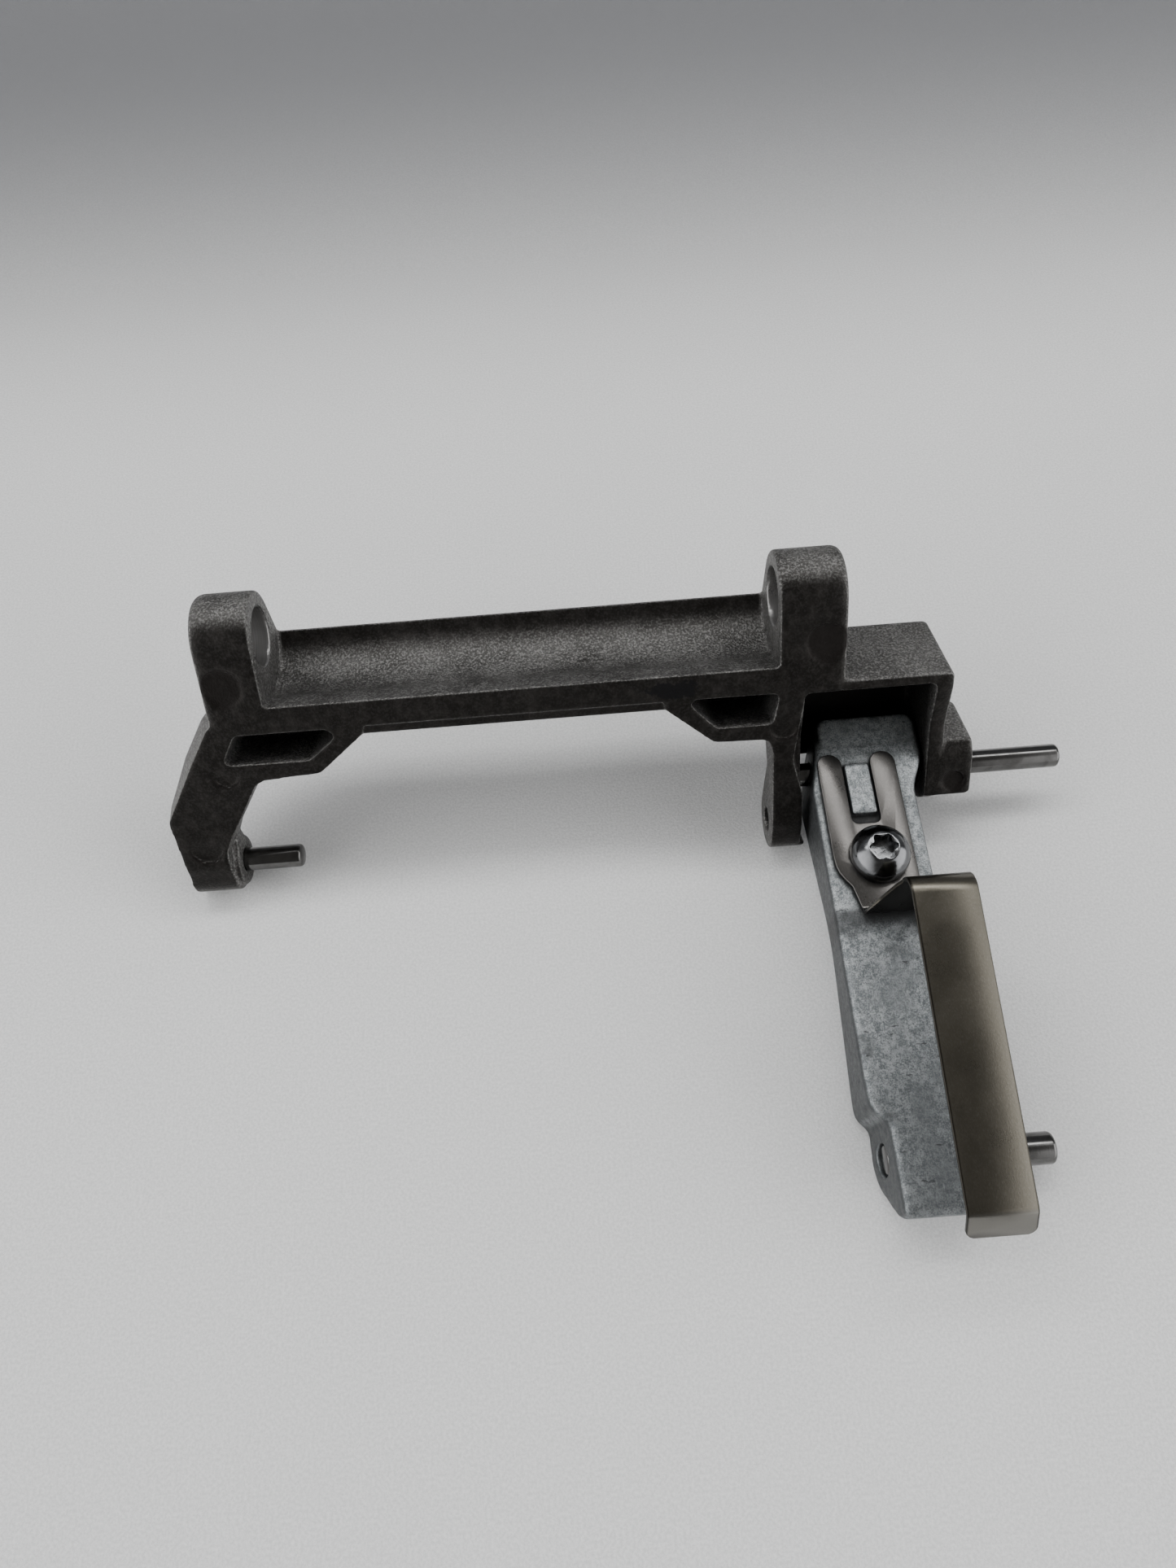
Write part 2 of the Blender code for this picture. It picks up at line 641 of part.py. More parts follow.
def stand_on_origin(stance):
    """Puts the middle of the assembly's base on the origin."""
    bpy.context.view_layer.update()
    corners = []
    for piece in bpy.data.objects:
        if piece.type == "MESH":
            corners += [piece.matrix_world @ point.co for point in piece.data.vertices]
    low = [min(corner[k] for corner in corners) for k in range(3)]
    high = [max(corner[k] for corner in corners) for k in range(3)]
    stance.location = (-(low[0] + high[0]) / 2, -(low[1] + high[1]) / 2, -low[2])


def main():
    clear_scene()
    cast_grey = make_material("cast_grey", (0.13, 0.125, 0.12), 0.85, 0.55)
    zinc_grey = make_material("zinc_grey", (0.36, 0.38, 0.39), 0.9, 0.42)
    spring_steel = make_material("spring_steel", (0.27, 0.25, 0.22), 1.0, 0.33)
    screw_steel = make_material("screw_steel", (0.62, 0.62, 0.61), 1.0, 0.16)
    pin_steel = make_material("pin_steel", (0.55, 0.54, 0.53), 1.0, 0.14)

    stance = bpy.data.objects.new("stance", None)
    hinge = bpy.data.objects.new("hinge", None)
    bpy.context.scene.collection.objects.link(stance)
    bpy.context.scene.collection.objects.link(hinge)
    stance.rotation_euler.x = -stance_tilt(LEVER_DROP)
    hinge.parent = stance
    hinge.location = (0, PIVOT[0] * MM, PIVOT[1] * MM)
    hinge.rotation_euler.x = LEVER_DROP

    make_bracket(stance, cast_grey)
    make_pin("left_leg_pin", FOOT_AXIS, LEG_PIN_R, LEG_PIN_X, stance, pin_steel)
    make_pin("lever_pivot_pin", PIVOT, LEG_PIN_R, PIVOT_PIN_X, stance, pin_steel)
    make_lever(hinge, zinc_grey)
    make_pin("lever_tip_pin", (-TIP_AXIS[0], TIP_AXIS[1]), TIP_PIN_R, TIP_PIN_X, hinge, pin_steel)
    make_spring(hinge, spring_steel)
    make_screw(hinge, screw_steel)
    stand_on_origin(stance)


main()
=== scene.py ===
import json
import math

import bmesh
import bpy
from mathutils import Matrix, Vector


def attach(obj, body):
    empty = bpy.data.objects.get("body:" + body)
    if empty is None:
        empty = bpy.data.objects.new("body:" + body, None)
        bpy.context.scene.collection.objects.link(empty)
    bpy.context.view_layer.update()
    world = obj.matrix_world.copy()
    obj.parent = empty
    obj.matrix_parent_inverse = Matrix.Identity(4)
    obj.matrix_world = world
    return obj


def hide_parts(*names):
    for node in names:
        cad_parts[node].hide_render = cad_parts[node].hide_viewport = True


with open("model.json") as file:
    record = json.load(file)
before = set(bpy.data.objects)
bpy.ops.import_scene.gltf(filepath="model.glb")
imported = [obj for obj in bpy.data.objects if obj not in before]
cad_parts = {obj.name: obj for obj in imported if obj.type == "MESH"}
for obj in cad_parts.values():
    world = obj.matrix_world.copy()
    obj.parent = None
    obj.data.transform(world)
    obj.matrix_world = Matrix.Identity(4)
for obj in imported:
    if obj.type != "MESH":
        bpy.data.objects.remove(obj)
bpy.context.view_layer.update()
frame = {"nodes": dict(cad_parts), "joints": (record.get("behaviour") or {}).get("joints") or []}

MM = 0.001

# The bracket's own frame has its origin on the eye bores' axis, +y away from its front and +z up its legs.
# The bracket stands leaning back by the tilt.
TILT = math.radians(33.717)
HINGE = Vector(frame["joints"][0]["pos_m"])
HINGE_IN_BRACKET = Vector((0, 0.5, -27.65)) * MM
LEAN = Matrix.Rotation(-TILT, 4, "X")
BRACKET = Matrix.Translation(HINGE - LEAN @ HINGE_IN_BRACKET) @ LEAN
# The work frame of the lever has its origin on the hinge axis, the arm along -y and its top facing +z.
LEVER_DROP = math.radians(37.5)
LEVER = Matrix.Translation(HINGE) @ Matrix.Rotation(LEVER_DROP - TILT, 4, "X")

# Places on the bracket, in its own frame.
EYE_BORE_R = 4.0 * MM
BOX_MIDDLE_X = 46.35 * MM
BOX_HALF_WIDTH = 9.0 * MM
BOX_TOP_Z = -11.0 * MM
BOX_DEEP_Y = -2.0 * MM
DAUB_CENTRE = Vector((19.5, 0, -9.9)) * MM
DAUB_HALF_WIDTH = 5.2 * MM
DAUB_HALF_HEIGHT = 1.5 * MM
# Ejector marks on its front: centre across and up in mm, radius in mm, and whether the whole disc is sunk.
EJECTOR_MARKS = (
    ((-39.8, -4.9), 2.7, True),
    ((40.1, -4.9), 2.75, True),
    ((59.4, -28.2), 1.7, True),
    ((-42.1, -17.4), 1.9, False),
    ((-47.3, -28.7), 2.35, False),
    ((34.6, -16.6), 2.0, False),
)

# Places on the lever and its leaf spring, in the lever's work frame.
SLOT_MIDDLE_X = 45.17 * MM
SLOT_HALF_WIDTH = 2.3 * MM
SLOT_Y = (-11.0 * MM, -9.15 * MM)
# Painted shadow of the spring's riser on the arm, with a dark smudge where it fades.
SHADOW_SMUDGE_START_Y = -22.2 * MM
SHADOW_SMUDGE_FULL_Y = -24.5 * MM
SHADOW_SMUDGE_END_Y = -29.5 * MM
TIP_SHADE_Y = (-36.0 * MM, -50.0 * MM)
STRIP_MIDDLE_X = 49.9 * MM
STRIP_HALF_WIDTH = 4.02 * MM
STRIP_Z = 10.0 * MM
PLATE_Z = 6.5 * MM
LIP_Y = -61.4 * MM

# Pale table that turns up into a wall behind the object.
TABLE_HALF_WIDTH = 1.2
TABLE_NEAR_Y = -0.9
SWEEP_START_Y = 0.155
SWEEP_R = 0.11
SWEEP_STEPS = 16
WALL_TOP_Z = 0.9

# The camera, in the bracket's own frame.
CAMERA_PLACE = Vector((7.29, -140.87, 45.97)) * MM
CAMERA_PITCH = math.radians(27.1)
CAMERA_ROLL = math.radians(4.4966)
SENSOR_HEIGHT = 36.0
LENS = 24.959

# Colours of the bracket's casting.
CAST_DARK = (0.067, 0.065, 0.062)
CAST_LIGHT = (0.118, 0.1155, 0.111)
CAST_RUBBED = (0.40, 0.395, 0.38)
CAST_PIT = (0.05, 0.047, 0.043)
# Painted shade for the faces turned toward the front, with lighter patches and rubbed grain.
FRONT_SHADE_DARK = (0.007, 0.006, 0.005)
FRONT_SHADE_LIGHT = (0.018, 0.016, 0.0145)
FRONT_SHADE_RUBBED = (0.04, 0.037, 0.034)
CAST_EDGE = (0.30, 0.295, 0.28)
CAST_CORNER_SHADE = (0.03, 0.027, 0.024)
MARK_DARK = (0.012, 0.010, 0.009)
BOX_SHADE_DARK = (0.006, 0.0055, 0.005)
BORE_DARK = (0.16, 0.157, 0.152)
BORE_LIGHT = (0.30, 0.295, 0.29)
DAUB_BLACK = (0.008, 0.008, 0.009)

# Colours of the lever's casting.
ZINC_DARK = (0.11, 0.122, 0.127)
ZINC_LIGHT = (0.375, 0.394, 0.398)
ZINC_DULL = (0.15, 0.162, 0.167)
ZINC_SCRATCH = (0.55, 0.575, 0.575)
ZINC_DIRT = (0.07, 0.074, 0.076)
ZINC_EDGE = (0.55, 0.56, 0.56)
ZINC_CORNER_SHADE = (0.04, 0.04, 0.04)
ZINC_CREVICE_SHADE = (0.018, 0.018, 0.019)
ZINC_FLANK_SHADE = (0.035, 0.037, 0.038)
ZINC_SLOT_SHADE = (0.008, 0.008, 0.008)
ZINC_NICK_AND_SHADOW = (0.035, 0.036, 0.037)
ZINC_TIP = (0.05, 0.055, 0.057)

# Colours of the spring, the screw and the pins.
PLATE_DARK = (0.085, 0.081, 0.077)
PLATE_LIGHT = (0.125, 0.12, 0.115)
STRIP_DARK = (0.115, 0.106, 0.086)
STRIP_LIGHT = (0.145, 0.134, 0.110)
SPRING_GRAIN = (0.30, 0.29, 0.27)
SPRING_SPECK = (0.075, 0.07, 0.06)
LIP_REFLECTION = (0.20, 0.195, 0.18)
SPRING_SHADE_DARK = (0.012, 0.011, 0.010)
SCREW_DARK = (0.105, 0.107, 0.110)
SCREW_LIGHT = (0.170, 0.173, 0.177)
PIN_CLEAN = (0.125, 0.123, 0.12)
PIN_OILED = (0.08, 0.079, 0.076)

# Colours of the table, its wall and the light around.
TABLE_DARK = (0.69, 0.695, 0.69)
TABLE_LIGHT = (0.88, 0.88, 0.875)
TABLE_CLOUD = (0.60, 0.605, 0.61)
WALL_SHADE = (0.17, 0.173, 0.18)
ROOM_DARK = (0.18, 0.176, 0.168)
ROOM_GLOW = (7.9, 7.9, 8.0)


# ---------------------------------------------------------------- shapes


def welded(cad_name):
    """A copy of a CAD node's mesh with its split vertices joined and its flat faces made whole."""
    made = bmesh.new()
    made.from_mesh(frame["nodes"][cad_name].data)
    bmesh.ops.remove_doubles(made, verts=made.verts, dist=0.002 * MM)
    bmesh.ops.dissolve_limit(made, angle_limit=math.radians(0.4), verts=made.verts, edges=made.edges)
    mesh = bpy.data.meshes.new(cad_name + "_shape")
    made.to_mesh(mesh)
    made.free()
    return mesh


def bake_modifiers(piece):
    """Applies a piece's modifiers to its mesh."""
    graph = bpy.context.evaluated_depsgraph_get()
    shaped = piece.evaluated_get(graph)
    mesh = bpy.data.meshes.new_from_object(shaped, preserve_all_data_layers=True, depsgraph=graph)
    piece.modifiers.clear()
    piece.data = mesh


def stand_in(cad_name, name, body, surface):
    """A finer piece that takes the place of one CAD node."""
    piece = bpy.data.objects.new(name, welded(cad_name))
    bpy.context.scene.collection.objects.link(piece)
    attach(piece, body)
    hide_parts(cad_name)
    piece.data.materials.clear()
    piece.data.materials.append(surface)
    return piece


def cast(piece, voxel, passes):
    """Turns crisp corners into the small fillets and soft edges of a die-casting."""
    remesh = piece.modifiers.new("remesh", "REMESH")
    remesh.mode = "VOXEL"
    remesh.voxel_size = voxel
    remesh.use_smooth_shade = True
    relax = piece.modifiers.new("relax", "SMOOTH")
    relax.factor = 0.5
    relax.iterations = passes
    surface = piece.data.materials[0]
    bake_modifiers(piece)
    piece.data.materials.clear()
    piece.data.materials.append(surface)
    piece.data.shade_smooth()


def soften(piece, width, segments, angle):
    """Bevels the edges of a machined or stamped piece that turn by more than an angle in degrees."""
    bevel = piece.modifiers.new("bevel", "BEVEL")
    bevel.width = width
    bevel.segments = segments
    bevel.limit_method = "ANGLE"
    bevel.angle_limit = math.radians(angle)
    bevel.use_clamp_overlap = True
    bevel.harden_normals = True
    piece.data.shade_smooth()
    bake_modifiers(piece)


# ---------------------------------------------------------------- material helpers


def feed(tree, socket, value):
    """Links an input to another socket, or sets it to a constant."""
    if isinstance(value, bpy.types.NodeSocket):
        tree.links.new(value, socket)
    else:
        socket.default_value = value


def node(tree, kind, inputs=None, **settings):
    """Adds a node, makes its settings and feeds its inputs."""
    made = tree.nodes.new("ShaderNode" + kind)
    for key, value in settings.items():
        setattr(made, key, value)
    for key, value in (inputs or {}).items():
        feed(tree, made.inputs[key], value)
    return made


def new_surface(name, metallic, specular=0.5):
    """A new material, its node tree and its shader."""
    surface = bpy.data.materials.new(name)
    surface.use_nodes = True
    shader = surface.node_tree.nodes["Principled BSDF"]
    shader.inputs["Metallic"].default_value = metallic
    shader.inputs["Specular IOR Level"].default_value = specular
    return surface, surface.node_tree, shader


def finish_surface(tree, shader, colour, rough, height, depth, strength=1.0):
    """Feeds a shader its colour, its roughness and a bump of this depth in metres."""
    feed(tree, shader.inputs["Base Color"], colour)
    feed(tree, shader.inputs["Roughness"], rough)
    bump = node(tree, "Bump", {"Strength": strength, "Distance": depth, "Height": height})
    feed(tree, shader.inputs["Normal"], bump.outputs["Normal"])


def object_point(tree):
    """Coordinates in a piece's own space, which is the world's at rest, in metres."""
    return node(tree, "TexCoord").outputs["Object"]


def local_point(tree, placing):
    """Coordinates in a part's own frame, in metres."""
    place, turn, _ = placing.decompose()
    inputs = {"Vector": object_point(tree), "Location": place, "Rotation": turn.to_euler()}
    return node(tree, "Mapping", inputs, vector_type="TEXTURE").outputs["Vector"]


def facing(tree):
    """The direction that a surface faces at rest."""
    return node(tree, "TexCoord").outputs["Normal"]


def pointiness(tree):
    """More than 0.5 on outside edges and less in inside corners."""
    return node(tree, "NewGeometry").outputs["Pointiness"]


def noise(tree, where, size, detail=3.0, roughness=0.55, distortion=0.0):
    """Noise whose features are about this size in metres."""
    inputs = {"Vector": where, "Scale": 1.0 / size, "Detail": detail}
    inputs |= {"Roughness": roughness, "Distortion": distortion}
    return node(tree, "TexNoise", inputs).outputs["Fac"]


def stretched(tree, where, scale):
    """Coordinates scaled by axis; a small scale draws a pattern out along that axis."""
    return node(tree, "VectorMath", {0: where, 1: scale}, operation="MULTIPLY").outputs["Vector"]


def offset_from(tree, where, point):
    return node(tree, "VectorMath", {0: where, 1: point}, operation="SUBTRACT").outputs["Vector"]


def length_of(tree, vector):
    return node(tree, "VectorMath", {0: vector}, operation="LENGTH").outputs["Value"]


def dot_with(tree, vector, direction):
    return node(tree, "VectorMath", {0: vector, 1: direction}, operation="DOT_PRODUCT").outputs["Value"]


def axis(tree, vector, name):
    return node(tree, "SeparateXYZ", {"Vector": vector}).outputs[name]


def math_node(tree, operation, a, b=0.0):
    return node(tree, "Math", {0: a, 1: b}, operation=operation).outputs[0]


def plus(tree, a, b):
    return math_node(tree, "ADD", a, b)


def minus(tree, a, b):
    return math_node(tree, "SUBTRACT", a, b)


def times(tree, a, b):
    return math_node(tree, "MULTIPLY", a, b)


def larger(tree, a, b):
    return math_node(tree, "MAXIMUM", a, b)


def distance(tree, value, centre):
    return math_node(tree, "ABSOLUTE", minus(tree, value, centre))


def ramp(tree, value, low, high, out_low=0.0, out_high=1.0):
    """Smooth step of a value between two limits."""
    inputs = {"Value": value, "From Min": low, "From Max": high, "To Min": out_low, "To Max": out_high}
    return node(tree, "MapRange", inputs, interpolation_type="SMOOTHSTEP").outputs["Result"]


def band(tree, value, limits, fade):
    """1 between two limits, fading out over a short stretch inside each."""
    low, high = limits
    return times(tree, ramp(tree, value, low, low + fade), ramp(tree, value, high, high - fade))


def blend_colour(tree, share, a, b):
    """Colour a where the share is 0 and colour b where it is 1."""
    made = node(tree, "Mix", {"Factor": share}, data_type="RGBA")
    for socket, value in ((made.inputs[6], a), (made.inputs[7], b)):
        feed(tree, socket, (*value, 1.0) if isinstance(value, tuple) else value)
    return made.outputs[2]


def tinted(tree, colour, tint, mask, amount):
    """A colour that takes this much of a tint where the mask is 1."""
    return blend_colour(tree, times(tree, mask, amount), colour, tint)


# ---------------------------------------------------------------- the bracket's casting


def mark_shade(tree, here):
    """Darkening in the ejector marks: whole discs, or only the lower edge of the slanting ones."""
    shade = None
    flat = stretched(tree, here, (1, 0, 1))
    for (x, z), radius, whole in EJECTOR_MARKS:
        offset = offset_from(tree, flat, Vector((x, 0, z)) * MM)
        reach = length_of(tree, offset)
        edge = ramp(tree, distance(tree, reach, radius * MM), 0.24 * MM, 0.06 * MM)
        if whole:
            disc = ramp(tree, reach, (radius + 0.1) * MM, (radius - 0.15) * MM, 0.0, 0.72)
            edge = larger(tree, times(tree, edge, 0.75), disc)
        else:
            edge = times(tree, edge, ramp(tree, axis(tree, offset, "Z"), -0.25 * MM, -0.95 * MM))
        shade = edge if shade is None else larger(tree, shade, edge)
    return shade


def box_shade(tree, here):
    """Painted shade inside the hinge box."""
    off_middle = distance(tree, axis(tree, here, "X"), BOX_MIDDLE_X)
    within = ramp(tree, off_middle, BOX_HALF_WIDTH + 0.25 * MM, BOX_HALF_WIDTH)
    within = times(tree, within, ramp(tree, axis(tree, here, "Y"), BOX_DEEP_Y - 3.6 * MM, BOX_DEEP_Y))
    below = ramp(tree, axis(tree, here, "Z"), BOX_TOP_Z, BOX_TOP_Z - 0.9 * MM, 0.0, 0.88)
    return times(tree, within, below)


def bore_share(tree, here):
    """The machined walls of the two eyes, whose bores lie along x."""
    reach = length_of(tree, stretched(tree, here, (0, 1, 1)))
    return ramp(tree, reach, EYE_BORE_R + 0.22 * MM, EYE_BORE_R + 0.1 * MM)


def daub_shade(tree, here):
    """A ragged dark daub on the front of the beam."""
    offset = offset_from(tree, here, DAUB_CENTRE)
    reach = length_of(tree, stretched(tree, offset, (1 / DAUB_HALF_WIDTH, 0, 1 / DAUB_HALF_HEIGHT)))
    ragged = times(tree, noise(tree, here, 1.1 * MM, 4.0, 0.7), 2.2)
    return ramp(tree, plus(tree, reach, ragged), 1.85, 1.7)


def cast_aluminium():
    """Sand-blasted die-casting: pebbled dark grey, rubbed lighter on its grain, with painted shade on the
    faces turned to the front, in inside corners and in the hinge box.
    """
    surface, tree, shader = new_surface("cast_grey_look", 0.82)
    here = local_point(tree, BRACKET)
    toward = dot_with(tree, facing(tree), LEAN @ Vector((0, -1, 0)))
    flat_front = ramp(tree, toward, 0.60, 0.92)
    bore = bore_share(tree, here)

    pebbles = noise(tree, here, 0.30 * MM, 2.0)
    coarse = noise(tree, here, 0.75 * MM, 2.0, 0.5)
    fine = noise(tree, here, 0.14 * MM, 2.0, 0.6)
    clouds = noise(tree, here, 6.0 * MM, 4.0, 0.6)
    patches = noise(tree, here, 1.6 * MM, 3.0, 0.6)
    rings = noise(tree, stretched(tree, here, (1.0, 0.02, 0.02)), 0.12 * MM, 2.0)
    edge = pointiness(tree)

    tips = ramp(tree, plus(tree, pebbles, times(tree, fine, 0.35)), 0.66, 0.80)
    pits = ramp(tree, pebbles, 0.47, 0.33)
    body = blend_colour(tree, ramp(tree, clouds, 0.35, 0.65), CAST_DARK, CAST_LIGHT)
    body = tinted(tree, body, CAST_RUBBED, tips, 0.38)
    body = tinted(tree, body, CAST_PIT, pits, 0.55)
    # Painted shade on the faces turned toward the front.
    front_shade = blend_colour(tree, ramp(tree, patches, 0.40, 0.68), FRONT_SHADE_DARK, FRONT_SHADE_LIGHT)
    front_shade = tinted(tree, front_shade, FRONT_SHADE_RUBBED, tips, 0.10)
    colour = tinted(tree, body, front_shade, flat_front, 0.95)

    worn = ramp(tree, edge, 0.54, 0.64)
    # Painted shade in inside corners, where the surface is concave.
    corner_shade = ramp(tree, edge, 0.485, 0.42)
    colour = tinted(tree, colour, CAST_EDGE, worn, 0.09)
    colour = tinted(tree, colour, CAST_CORNER_SHADE, corner_shade, 0.75)
    colour = tinted(tree, colour, MARK_DARK, mark_shade(tree, here), ramp(tree, toward, 0.2, 0.6))
    # Painted shade inside the hinge box.
    colour = blend_colour(tree, box_shade(tree, here), colour, BOX_SHADE_DARK)
    machined = blend_colour(tree, rings, BORE_DARK, BORE_LIGHT)
    colour = blend_colour(tree, bore, colour, machined)
    daub = times(tree, daub_shade(tree, here), flat_front)
    colour = tinted(tree, colour, DAUB_BLACK, daub, 0.9)

    rough = plus(tree, ramp(tree, clouds, 0.3, 0.7, 0.40, 0.50), times(tree, fine, 0.10))
    rough = minus(tree, rough, times(tree, bore, 0.20))

    grain = plus(tree, plus(tree, pebbles, times(tree, coarse, 0.8)), times(tree, fine, 0.25))
    quiet_front = minus(tree, 1.0, times(tree, flat_front, 0.72))
    quiet_bore = minus(tree, 1.0, times(tree, bore, 0.94))
    height = times(tree, grain, times(tree, quiet_front, quiet_bore))
    finish_surface(tree, shader, colour, rough, height, 0.20 * MM)
    return surface


# ---------------------------------------------------------------- the lever's casting


def slot_shade(tree, here):
    """Painted shade in the slot of the lever's top."""
    length = band(tree, axis(tree, here, "Y"), SLOT_Y, 0.3 * MM)
    off_slot = distance(tree, axis(tree, here, "X"), SLOT_MIDDLE_X)
    return times(tree, length, ramp(tree, off_slot, SLOT_HALF_WIDTH, SLOT_HALF_WIDTH - 0.3 * MM, 0.0, 0.95))


def riser_shadow_and_smudge(tree, along, clouds):
    """A painted shadow on the arm that starts at the foot of the spring's riser, with a dark smudge where
    it ends in clouds.
    """
    cloudy = plus(tree, along, times(tree, minus(tree, clouds, 0.5), 14.0 * MM))
    fading = ramp(tree, cloudy, SHADOW_SMUDGE_END_Y, SHADOW_SMUDGE_FULL_Y, 0.0, 0.8)
    return times(tree, fading, ramp(tree, along, SHADOW_SMUDGE_START_Y, SHADOW_SMUDGE_START_Y - 1.0 * MM))


def cast_zinc():
    """Bare zinc die-casting: bluish, mottled, with dark handling smudges and fine scratches, and painted
    shade in its corners, crevices, slot and flanks and below the spring's riser.
    """
    surface, tree, shader = new_surface("zinc_grey_look", 0.62)
    here = local_point(tree, LEVER)
    along = axis(tree, here, "Y")
    edge = pointiness(tree)

    clouds = noise(tree, here, 6.0 * MM, 3.0, 0.6)
    mottle = noise(tree, here, 0.9 * MM, 5.0, 0.74)
    fine = noise(tree, here, 0.20 * MM, 3.0, 0.68)
    drawn = noise(tree, stretched(tree, here, (1.0, 0.10, 1.0)), 0.13 * MM, 3.0, 0.6)
    spots = noise(tree, here, 4.2 * MM, 6.0, 0.74)
    cuts = noise(tree, stretched(tree, here, (0.35, 1.0, 1.0)), 0.8 * MM, 3.0, 0.6)

    light = ramp(tree, plus(tree, times(tree, mottle, 0.5), times(tree, fine, 0.5)), 0.40, 0.61)
    dirt = ramp(tree, spots, 0.57, 0.66)
    nicks = ramp(tree, cuts, 0.66, 0.71)
    colour = blend_colour(tree, light, ZINC_DARK, ZINC_LIGHT)
    colour = tinted(tree, colour, ZINC_DULL, ramp(tree, clouds, 0.46, 0.62), 0.5)
    colour = tinted(tree, colour, ZINC_SCRATCH, ramp(tree, drawn, 0.57, 0.68), 0.40)
    colour = tinted(tree, colour, ZINC_DIRT, dirt, 0.6)
    colour = tinted(tree, colour, ZINC_NICK_AND_SHADOW, nicks, 0.8)
    colour = tinted(tree, colour, ZINC_EDGE, ramp(tree, edge, 0.54, 0.62), 0.25)
    # Painted shade in inside corners, where the surface is concave.
    colour = tinted(tree, colour, ZINC_CORNER_SHADE, ramp(tree, edge, 0.485, 0.43), 0.7)

    # Painted shade from ambient occlusion where parts come close, as round the spring's plate.
    covered = node(tree, "AmbientOcclusion", {"Distance": 2.4 * MM}, samples=8).outputs["AO"]
    colour = blend_colour(tree, ramp(tree, covered, 0.86, 0.50, 0.0, 0.93), colour, ZINC_CREVICE_SHADE)
    # Painted shade on the flanks that face sideways.
    sideways = math_node(tree, "ABSOLUTE", axis(tree, facing(tree), "X"))
    flank_shade = ramp(tree, sideways, 0.60, 0.92, 0.0, 0.86)
    colour = blend_colour(tree, flank_shade, colour, ZINC_FLANK_SHADE)
    # Painted shade in the slot.
    colour = blend_colour(tree, slot_shade(tree, here), colour, ZINC_SLOT_SHADE)
    # Painted shadow below the spring's riser, fading into a dark smudge.
    colour = blend_colour(tree, riser_shadow_and_smudge(tree, along, clouds), colour, ZINC_NICK_AND_SHADOW)
    colour = blend_colour(tree, ramp(tree, along, *TIP_SHADE_Y, 0.0, 0.42), colour, ZINC_TIP)

    rough = plus(tree, ramp(tree, mottle, 0.3, 0.7, 0.52, 0.38), times(tree, dirt, 0.08))
    height = plus(tree, times(tree, mottle, 0.6), times(tree, fine, 0.4))
    finish_surface(tree, shader, colour, rough, height, 0.10 * MM)
    return surface


# ---------------------------------------------------------------- the steels and the table


def strip_edge_shade(tree, here):
    """Painted shade along the cut edges of the spring's raised strip."""
    off_middle = distance(tree, axis(tree, here, "X"), STRIP_MIDDLE_X)
    rim = ramp(tree, off_middle, STRIP_HALF_WIDTH - 0.22 * MM, STRIP_HALF_WIDTH, 0.0, 0.8)
    return times(tree, rim, ramp(tree, axis(tree, here, "Z"), STRIP_Z - 0.4 * MM, STRIP_Z + 0.4 * MM))


def rolled_steel():
    """Spring steel: a grey plate and an olive-grey raised strip, with faint grain and soft stains, painted
    shade underneath, on front-facing faces and along the strip's edges, and a painted reflection on the
    lip.
    """
    surface, tree, shader = new_surface("spring_steel_look", 1.0)
    here = local_point(tree, LEVER)
    grain = noise(tree, stretched(tree, here, (1.0, 0.5, 1.0)), 0.17 * MM, 3.0, 0.65)
    clouds = noise(tree, here, 7.0 * MM, 4.0, 0.6, 0.4)
    specks = noise(tree, here, 0.5 * MM, 3.0, 0.6)

    plate = blend_colour(tree, clouds, PLATE_DARK, PLATE_LIGHT)
    strip = blend_colour(tree, clouds, STRIP_DARK, STRIP_LIGHT)
    raised = ramp(tree, axis(tree, here, "Z"), PLATE_Z, STRIP_Z)
    colour = blend_colour(tree, raised, plate, strip)
    colour = tinted(tree, colour, SPRING_GRAIN, ramp(tree, grain, 0.46, 0.72), 0.12)
    colour = tinted(tree, colour, SPRING_SPECK, ramp(tree, specks, 0.60, 0.72), 0.25)
    # Painted reflection on the lip at the strip's free end.
    lip = ramp(tree, axis(tree, here, "Y"), LIP_Y, LIP_Y - 0.6 * MM, 0.0, 0.75)
    colour = blend_colour(tree, lip, colour, LIP_REFLECTION)

    # Painted shade on faces that turn down or toward the front, and along the strip's edges.
    inside = ramp(tree, axis(tree, facing(tree), "Y"), -0.88, -0.97)
    under = ramp(tree, axis(tree, facing(tree), "Z"), -0.4, -0.8)
    spring_shade = times(tree, larger(tree, inside, under), 0.88)
    spring_shade = larger(tree, spring_shade, strip_edge_shade(tree, here))
    colour = blend_colour(tree, spring_shade, colour, SPRING_SHADE_DARK)

    rough = plus(tree, ramp(tree, clouds, 0.3, 0.7, 0.24, 0.30), times(tree, grain, 0.06))
    finish_surface(tree, shader, colour, rough, grain, 0.009 * MM)
    return surface


def plated_steel():
    """Grey plating on the screw, smooth and a little orange-peeled."""
    surface, tree, shader = new_surface("screw_steel_look", 1.0)
    here = local_point(tree, LEVER)
    waves = noise(tree, here, 0.9 * MM)
    fine = noise(tree, here, 0.12 * MM, 2.0)
    colour = blend_colour(tree, waves, SCREW_DARK, SCREW_LIGHT)
    rough = ramp(tree, waves, 0.3, 0.7, 0.12, 0.22)
    height = plus(tree, waves, times(tree, fine, 0.15))
    finish_surface(tree, shader, colour, rough, height, 0.012 * MM)
    return surface


